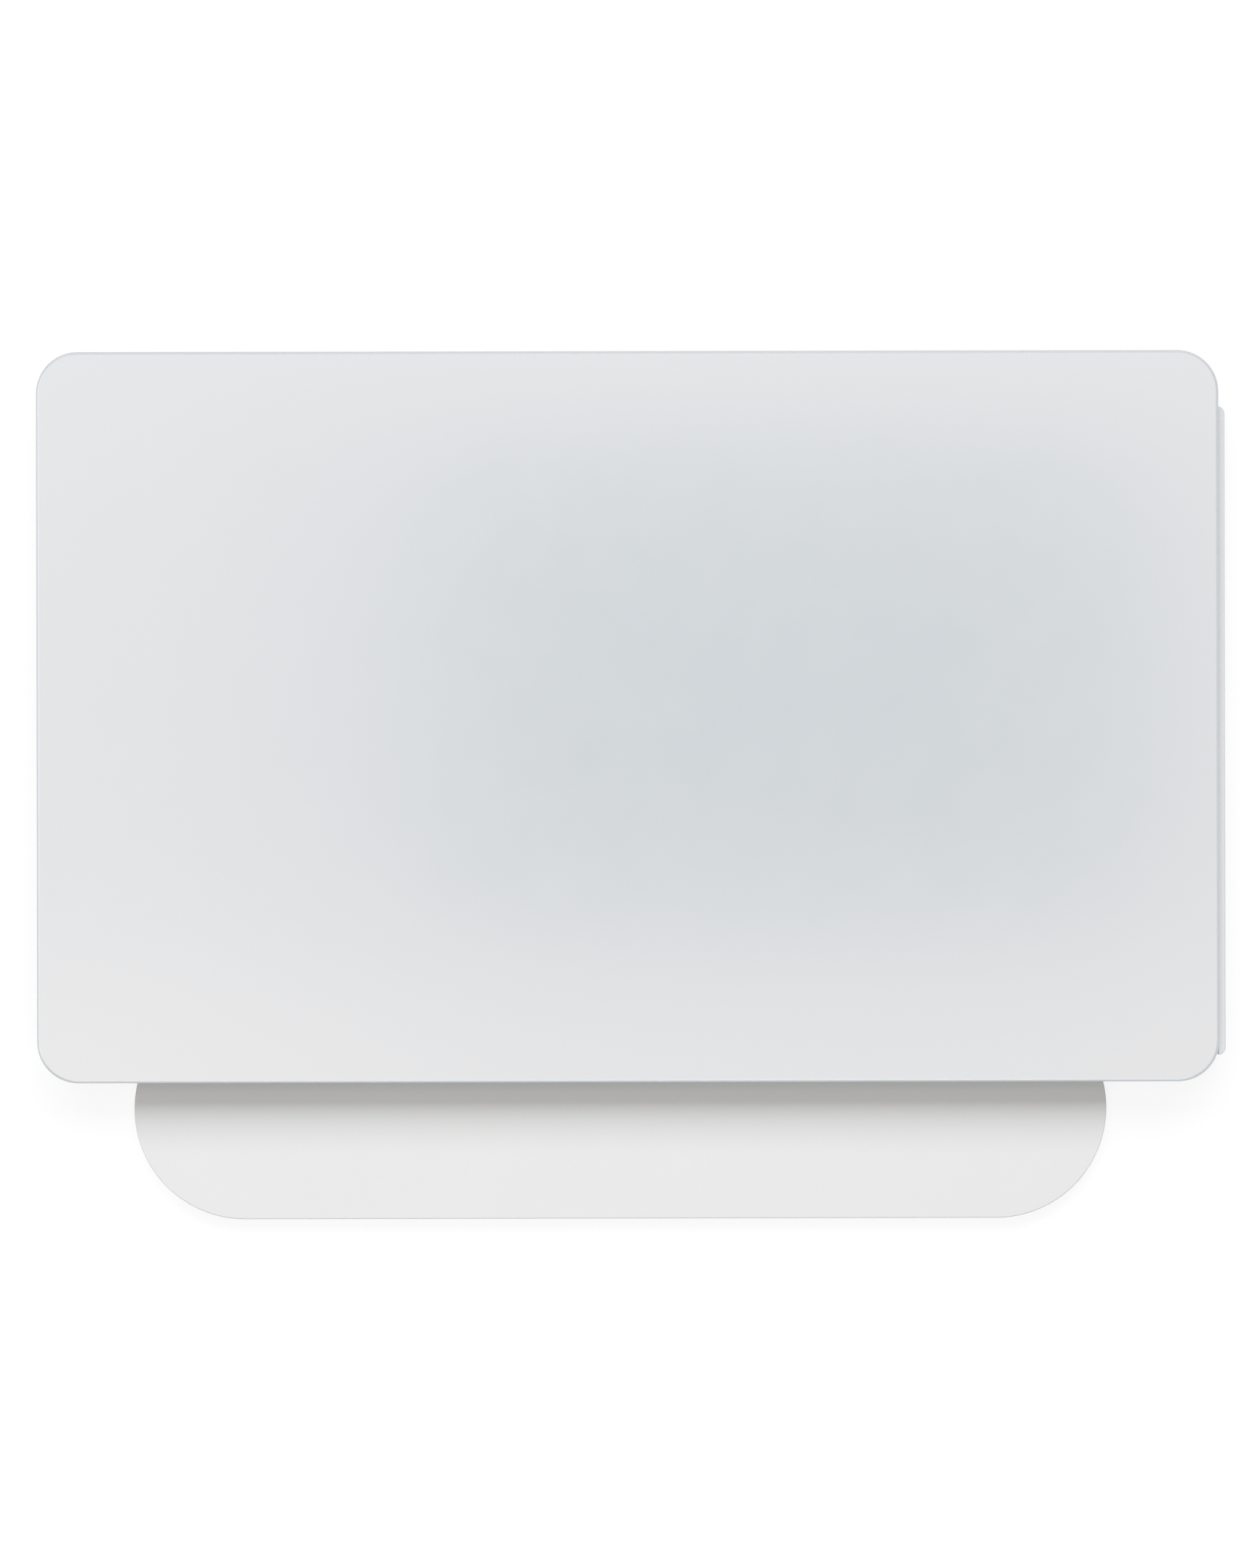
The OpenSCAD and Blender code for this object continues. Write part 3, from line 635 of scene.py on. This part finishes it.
def make_glass(looks):
    """The touch plate: a flat face with a softly rounded upper edge."""
    low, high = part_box("touch_glass")
    profile = [(GLASS_LOWER_EDGE, low.z), (0, low.z + GLASS_LOWER_EDGE)]
    for i in range(GLASS_EDGE_STEPS + 1):
        turn = math.pi / 2 * i / GLASS_EDGE_STEPS
        profile.append((GLASS_EDGE_IN * (1 - math.cos(turn)),
                        high.z - GLASS_EDGE_DOWN * (1 - math.sin(turn))))
    bm = bmesh.new()
    slab(bm, low, high, PLATE_CORNER, profile, steps=16)
    bm.normal_update()
    for face in bm.faces:
        face.material_index = 0 if abs(face.normal.z) > FACE_RISE else 1
    piece = finish_mesh("trackpad_plate", bm, looks["glass_face"], looks["glass_edge"])
    settle(piece, "touch_plate", "etched_glass", "touch_glass")


LIP_PIT_EXTRA = 0.15 * MM
LIP_EDGES = (0.20 * MM, 0.15 * MM)


def make_lip(looks):
    """The bare pill-shaped lip, with its screws sunk from below."""
    low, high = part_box("front_lip")
    heads = solids("lip_screws")
    profile = edge_profile(low.z, high.z, *LIP_EDGES, 5)
    bm = bmesh.new()
    rows = slab(bm, low, high, (high.y - low.y) / 2, profile, steps=40, caps=(False, True))
    pits = [((a.x + b.x) / 2, (a.y + b.y) / 2, (b.x - a.x) / 2 + LIP_PIT_EXTRA)
            for a, b in heads]
    pitted_cap(bm, rows[0], pits, heads[0][0].z + SCREW_HEAD - low.z)
    piece = finish_mesh("lip_bare", bm, looks["lip_plastic"])
    settle(piece, "base", "lip_plastic", "front_lip")


# Rubber and screws

# Rounding of the lower and upper edges.
FOOT_EDGES = (0.35 * MM, 0.10 * MM)
PAD_EDGES = (0.14 * MM, 0.05 * MM)
STOP_EDGES = (0.10 * MM, 0.55 * MM)
# The groove in a foot's sole: inset and rise.
FOOT_GROOVE = ((2.6 * MM, 0), (2.4 * MM, 0.18 * MM), (1.9 * MM, 0.18 * MM), (1.7 * MM, 0))


def make_rubber(looks):
    """Round feet with a moulded ring, lip pads and domed press stops."""
    bm = bmesh.new()
    for low, high in solids("tray_feet"):
        side = edge_profile(low.z, high.z, *FOOT_EDGES)
        sole = [(inset, low.z + rise) for inset, rise in FOOT_GROOVE]
        slab(bm, low, high, (high.x - low.x) / 2, sole + side, steps=10)
    piece = finish_mesh("feet_rubber", bm, looks["rubber"])
    settle(piece, "base", "rubber", "tray_feet")

    bm = bmesh.new()
    for low, high in solids("lip_pads"):
        side = edge_profile(low.z, high.z, *PAD_EDGES)
        slab(bm, low, high, (high.y - low.y) / 2, side, steps=10)
    piece = finish_mesh("lip_pads_rubber", bm, looks["rubber"])
    settle(piece, "base", "rubber", "lip_pads")

    bm = bmesh.new()
    for low, high in solids("press_stops"):
        side = edge_profile(low.z, high.z, *STOP_EDGES, 6)
        slab(bm, low, high, (high.x - low.x) / 2, side, steps=8)
    piece = finish_mesh("press_stop_domes", bm, looks["rubber"])
    settle(piece, "base", "rubber", "press_stops")


SCREW_HEAD = 0.4 * MM
SCREW_SHANK = 0.8 * MM
THREAD_PITCH = 0.35 * MM
LOBES = 6
SCREW_SIDES = 48
# Shares of the shank's radius at the root of the thread and at the tip.
THREAD_ROOT = 0.86
SCREW_TIP = 0.6
# Rings of a head: share of its radius, share of its height from the crown, depth of the lobes.
HEAD_RINGS = ((0.34, 0.70, 0.16), (0.38, 0.08, 0.16), (0.58, 0.0, 0.0), (0.82, 0.08, 0.0),
              (0.95, 0.30, 0.0), (1.0, 0.55, 0.0), (1.0, 0.94, 0.0), (0.97, 1.0, 0.0))


def screw_ring(x, y, z, radius, lobe=0.0):
    """A ring of a screw, round or lobed."""
    ring = []
    for i in range(SCREW_SIDES):
        angle = 2 * math.pi * i / SCREW_SIDES
        r = radius * (1 + lobe * math.cos(LOBES * angle))
        ring.append(Vector((x + r * math.cos(angle), y + r * math.sin(angle), z)))
    return ring


def add_screw(bm, low, high, head_up):
    """One screw in its solid's box: a lobed recess, a domed head and a threaded shank."""
    x, y = (low.x + high.x) / 2, (low.y + high.y) / 2
    radius = (high.x - low.x) / 2
    length = high.z - low.z
    steps = [(radius * r, SCREW_HEAD * h, lobe) for r, h, lobe in HEAD_RINGS]
    down = SCREW_HEAD
    while down < length - THREAD_PITCH:
        steps.append((SCREW_SHANK * THREAD_ROOT, down, 0.0))
        steps.append((SCREW_SHANK, down + THREAD_PITCH / 2, 0.0))
        down += THREAD_PITCH
    steps.append((SCREW_SHANK * SCREW_TIP, length, 0.0))
    rings = []
    for r, depth, lobe in steps:
        z = high.z - depth if head_up else low.z + depth
        rings.append(screw_ring(x, y, z, r, lobe))
    skin(bm, rings)


def make_screws(looks):
    """Every screw of the three sets."""
    for node, head_up in (("beam_screws", True), ("motor_screws", False), ("lip_screws", False)):
        bm = bmesh.new()
        for low, high in solids(node):
            add_screw(bm, low, high, head_up)
        piece = finish_mesh(node + "_cut", bm, looks["screw_steel"])
        settle(piece, "base", "screw_steel", node)


# Motor

COIL_BUILD = 2.2 * MM
COIL_CORNER = 2.4 * MM
WIRE = 0.19 * MM
WIRE_SUNK = 0.06 * MM
WIRE_STEPS = 4


def scallops(length, count, depth):
    """(distance along, depth below the crest) of a row of round wires."""
    points = []
    for k in range(count):
        for i in range(WIRE_STEPS + 1):
            angle = math.pi * (i / WIRE_STEPS - 0.5)
            points.append(((k + 0.5 + 0.5 * math.sin(angle)) * length / count,
                           depth * (1 - math.cos(angle))))
    return points


LEAD_RADIUS = 0.12 * MM
LEAD_SUNK = 0.3 * MM
LEAD_ARCH = 0.3 * MM
LEAD_SHIFTS = (-1.5 * MM, 1.5 * MM)
LEAD_STEPS = 8
LEAD_SIDES = 10


def add_lead(bm, start, end):
    """A short round wire along X that arches a little, with its ends sunk into what they join."""
    sunk = Vector((LEAD_SUNK, 0, -LEAD_RADIUS))
    turns = [2 * math.pi * k / LEAD_SIDES for k in range(LEAD_SIDES)]
    rings = []
    for i in range(LEAD_STEPS + 1):
        share = i / LEAD_STEPS
        centre = (start - sunk).lerp(end + Vector((LEAD_SUNK, 0, LEAD_RADIUS)), share)
        centre.z += LEAD_ARCH * math.sin(math.pi * share)
        rings.append([centre + Vector((0, LEAD_RADIUS * math.cos(turn), LEAD_RADIUS * math.sin(turn)))
                      for turn in turns])
    skin(bm, rings)


def make_coils(looks):
    """Racetrack coils whose turns of wire can be seen outside and on top, with their leads."""
    bm = bmesh.new()
    coils = solids("motor_coils")
    for low, high in coils:
        tall = high.z - low.z
        loop = [(COIL_BUILD, low.z)]
        loop += [(sunk, low.z + up) for up, sunk in scallops(tall, round(tall / WIRE), WIRE_SUNK)]
        loop += [(across, high.z - sunk)
                 for across, sunk in scallops(COIL_BUILD, round(COIL_BUILD / WIRE), WIRE_SUNK)]
        slab(bm, low, high, COIL_CORNER, loop + loop[:1], steps=6, caps=(False, False))
    bar, middle = coils[0][0].z, (coils[0][0].y + coils[0][1].y) / 2
    for (_, left), (right, _) in zip(coils, coils[1:]):
        add_lead(bm, Vector((left.x, middle, bar)), Vector((right.x, middle, bar)))
    for shift in LEAD_SHIFTS:
        add_lead(bm, Vector((coils[-1][1].x, middle + shift, bar)),
                 Vector((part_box("motor_terminal")[0].x, middle + shift, bar)))
    piece = finish_mesh("coils_wound", bm, looks["copper_wire"])
    settle(piece, "base", "copper", "motor_coils")


FLEX_THICK = 0.12 * MM
FLEX_FLAT = 3.0 * MM
FLEX_BEND = 1.2 * MM
FLEX_STEP = 0.6 * MM
BEND_STEPS = 6
NECK_WIDTH = 4.0 * MM


def eased_path(points):
    """Points close together along a path, with its corners rounded."""
    path = [points[0]]
    for before, corner, after in zip(points, points[1:], points[2:]):
        start = corner + (before - corner).normalized() * FLEX_BEND
        end = corner + (after - corner).normalized() * FLEX_BEND
        for i in range(BEND_STEPS + 1):
            t = i / BEND_STEPS
            path.append(start.lerp(corner, t).lerp(corner.lerp(end, t), t))
    path.append(points[-1])
    close = [path[0]]
    for a, b in zip(path, path[1:]):
        count = max(1, math.ceil((b - a).length / FLEX_STEP))
        close += [a.lerp(b, k / count) for k in range(1, count + 1)]
    return close


def ribbon(bm, points, side):
    """A flat strip along a path, which reaches to both sides of it by the vector side."""
    path = eased_path(points)
    rings = []
    for i, point in enumerate(path):
        way = path[min(i + 1, len(path) - 1)] - path[max(i - 1, 0)]
        up = way.cross(side).normalized() * (FLEX_THICK / 2)
        rings.append([point + side + up, point + side - up, point - side - up, point - side + up])
    skin(bm, rings)


def make_flexes(looks):
    """The motor's flex and the gauges' tails, as thin strips with rounded bends."""
    low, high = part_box("motor_flex")
    y = (low.y + high.y) / 2
    bottom, top = low.z + FLEX_THICK / 2, high.z - FLEX_THICK / 2
    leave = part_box("motor_terminal")[1].x
    rise = leave + FLEX_FLAT
    bm = bmesh.new()
    ribbon(bm, [Vector((low.x, y, bottom)), Vector((rise, y, bottom)),
                Vector((high.x - FLEX_FLAT, y, top)), Vector((high.x, y, top))],
           Vector((0, (high.y - low.y) / 2, 0)))
    piece = finish_mesh("motor_flex_strip", bm, looks["polyimide"], weighted=False)
    bend(piece, "motor_flex")
    for low, high in solids("gauge_tails"):
        side = "front" if low.y < PLATE.y else "rear"
        hand = "left" if low.x < PLATE.x else "right"
        outer, inner = (low.y, high.y) if side == "front" else (high.y, low.y)
        inward = 1 if side == "front" else -1
        x, wide = (low.x + high.x) / 2, high.x - low.x
        bottom, top = low.z + FLEX_THICK / 2, high.z - FLEX_THICK / 2
        rise, land = outer + inward * (wide + NECK_WIDTH) / 2, inner - inward * wide
        bm = bmesh.new()
        ribbon(bm, [Vector((x, outer, bottom)), Vector((x, rise, bottom)),
                    Vector((x, land, top)), Vector((x, inner, top))],
               Vector((wide / 2, 0, 0)))
        piece = finish_mesh("gauge_tail_" + side + "_" + hand, bm, looks["polyimide_tail"],
                            weighted=False)
        bend(piece, "gauge_tails")


# Force beams

BEAM_CUTS = 20
GAUGE_CUTS = 6


def make_beams(looks):
    """The four spring beams with their strain gauges, cut across along their length."""
    gauges = solids("strain_gauges")
    for hand in ("left", "right"):
        for side in ("front", "rear"):
            node = "beam_" + side + "_" + hand
            bm = bmesh.new()
            copy_cut(bm, node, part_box(node), 0, BEAM_CUTS)
            piece = finish_mesh(node + "_spring", bm, looks["spring_steel"], weighted=False)
            bend(piece, node)
        bm = bmesh.new()
        for low, high in gauges:
            if (low.x < PLATE.x) == (hand == "left"):
                copy_cut(bm, "strain_gauges", (low, high), 0, GAUGE_CUTS)
        piece = finish_mesh("gauge_films_" + hand, bm, looks["polyimide"], weighted=False)
        bend(piece, "strain_gauges")


DISC_EDGES = (0.04 * MM, 0.06 * MM)
GEL_WAIST = 0.22 * MM
GEL_STEPS = 8


def make_tips(looks):
    """Welded tip discs, and the gel pads that stand on them."""
    bm = bmesh.new()
    for low, high in solids("beam_tip_discs"):
        side = edge_profile(low.z, high.z, *DISC_EDGES, 3)
        slab(bm, low, high, (high.x - low.x) / 2, side, steps=12)
    piece = finish_mesh("tip_discs_welded", bm, looks["spring_steel"])
    settle(piece, "press_stage", "spring_steel", "beam_tip_discs")

    bm = bmesh.new()
    for low, high in solids("gel_pads"):
        tall = high.z - low.z
        profile = []
        for i in range(GEL_STEPS + 1):
            up = i / GEL_STEPS
            profile.append((GEL_WAIST * (2 * up - 1) ** 2, low.z + tall * up))
        slab(bm, low, high, (high.x - low.x) / 2, profile, steps=12)
    piece = finish_mesh("gel_pads_bulged", bm, looks["gel"])
    low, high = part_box("gel_pads")
    bend(piece, "gel_pads")


# Electronics under the board

PAD_PITCH = 0.5 * MM
PAD_MARGIN = 1.0 * MM
PAD_HALF = 0.13 * MM
PAD_OUT = 0.02 * MM
PAD_TALL = 0.15 * MM
CHIP_EDGE = 0.06 * MM
CHIP_CORNER = 0.10 * MM
CHIP_DOT = 0.25 * MM
CHIP_DOT_DEPTH = 0.04 * MM


def add_chip(bm, low, high):
    """A moulded chip hung under the board, with a dot at one corner and pads along its sides."""
    profile = [(CHIP_EDGE, low.z), (0, low.z + CHIP_EDGE), (0, high.z)]
    rows = slab(bm, low, high, CHIP_CORNER, profile, steps=3, caps=(False, True))
    dot = (low.x + 3 * CHIP_DOT, high.y - 3 * CHIP_DOT, CHIP_DOT)
    pitted_cap(bm, rows[0], [dot], CHIP_DOT_DEPTH)
    before = set(bm.faces)
    width, depth = high.x - low.x, high.y - low.y
    for span, along in ((width, 0), (depth, 1)):
        count = int((span - PAD_MARGIN) / PAD_PITCH)
        for k in range(count):
            shift = (k - (count - 1) / 2) * PAD_PITCH
            for edge_at in (low[1 - along], high[1 - along]):
                centre = Vector(((low.x + high.x) / 2, (low.y + high.y) / 2, 0))
                centre[along] += shift
                centre[1 - along] = edge_at
                half = Vector((PAD_HALF, PAD_HALF, 0))
                half[1 - along] = PAD_OUT
                a, b = centre - half, centre + half
                slab(bm, a, b, 0, [(0, high.z - PAD_TALL), (0, high.z)], steps=1)
    for face in set(bm.faces) - before:
        face.material_index = 1


def make_chips(looks):
    """Controller, motor driver and gauge amplifiers."""
    for node in ("touch_controller", "motor_driver", "force_amplifiers"):
        bm = bmesh.new()
        for low, high in solids(node):
            add_chip(bm, low, high)
        piece = finish_mesh(node + "_chip", bm, looks["chip_plastic"], looks["shield_tin"])
        settle(piece, "touch_plate", "chip_plastic", node)


CAN_WALL = 0.15 * MM
CAN_EDGE = 0.25 * MM
CAN_CORNER = 0.8 * MM
VENT_COLUMNS = 7
VENT_ROWS = 4
VENT_RADIUS = 0.45 * MM
VENT_DEPTH = 0.12 * MM


def make_shield(looks):
    """A drawn tin can over the controller, with rounded edges and shallow vent pits whose floors carry
    the chip's dark plastic as painted shade standing in for holes.
    """
    low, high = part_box("shield_can")
    profile = edge_profile(low.z, high.z, CAN_EDGE, 0.0, 4)
    profile += [(CAN_WALL, high.z), (CAN_WALL, low.z + CAN_WALL)]
    vents = []
    for i in range(VENT_COLUMNS):
        for j in range(VENT_ROWS):
            vents.append((low.x + (high.x - low.x) * (i + 1) / (VENT_COLUMNS + 1),
                          low.y + (high.y - low.y) * (j + 1) / (VENT_ROWS + 1), VENT_RADIUS))
    bm = bmesh.new()
    rows = slab(bm, low, high, CAN_CORNER, profile, steps=6, caps=(False, True))
    # The vent pits' floors take the dark chip plastic: painted shade in place of the shade seen through
    # real vent holes.
    pitted_cap(bm, rows[0], vents, VENT_DEPTH, 1)
    piece = finish_mesh("shield_drawn", bm, looks["shield_tin"], looks["chip_plastic"])
    settle(piece, "touch_plate", "shield_steel", "shield_can")


PASSIVE_END = 0.24
PASSIVE_WAIST = 0.02 * MM
PASSIVE_EDGE = 0.03 * MM


def make_passives(looks):
    """Ceramic chips with tinned ends."""
    bm = bmesh.new()
    for low, high in solids("board_passives"):
        long = 0 if high.x - low.x > high.y - low.y else 1
        span = high[long] - low[long]
        for start, end, thin, index in ((0, PASSIVE_END, 0, 1),
                                        (PASSIVE_END, 1 - PASSIVE_END, PASSIVE_WAIST, 0),
                                        (1 - PASSIVE_END, 1, 0, 1)):
            a, b = low.copy(), high.copy()
            a[long], b[long] = low[long] + span * start, low[long] + span * end
            a[1 - long] += thin
            b[1 - long] -= thin
            before = set(bm.faces)
            side = edge_profile(low.z + thin, high.z, PASSIVE_EDGE, 0.0, 2)
            slab(bm, a, b, PASSIVE_EDGE, side, steps=2)
            for face in set(bm.faces) - before:
                face.material_index = index
    piece = finish_mesh("passives_tinned", bm, looks["passive_ceramic"], looks["shield_tin"])
    settle(piece, "touch_plate", "passive_ceramic", "board_passives")


def dress_cad(looks):
    """CAD nodes whose shapes are right, with small edges and their finishes."""
    for node, look, bevel in (
        ("tray", "tray_aluminium", 0.16), ("side_rail", "rail_aluminium", 0.12),
        ("motor_base", "base_steel", 0.06), ("motor_core", "core_steel", 0.06),
        ("armature_plate", "core_steel", 0.05), ("motor_terminal", "socket_plastic", 0.06),
        ("motor_socket", "socket_plastic", 0.06), ("host_socket", "socket_plastic", 0.05),
        ("socket_contacts", "gold", 0.02), ("socket_latch", "latch_plastic", 0.05),
        ("levelling_shims", "shim_brass", 0.02), ("glass_adhesive", "adhesive", 0.02),
        ("sensor_board", "board", 0.04),
    ):
        dress(node, looks[look], bevel * MM)


glass_low, glass_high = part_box("touch_glass")
PLATE = (glass_low + glass_high) / 2

add_camera()
add_lights()
add_world()
add_floor()
looks = make_materials()
make_glass(looks)
make_lip(looks)
make_rubber(looks)
make_screws(looks)
make_coils(looks)
make_flexes(looks)
make_beams(looks)
make_tips(looks)
make_chips(looks)
make_shield(looks)
make_passives(looks)
dress_cad(looks)

bpy.context.scene.view_settings.view_transform = "Standard"
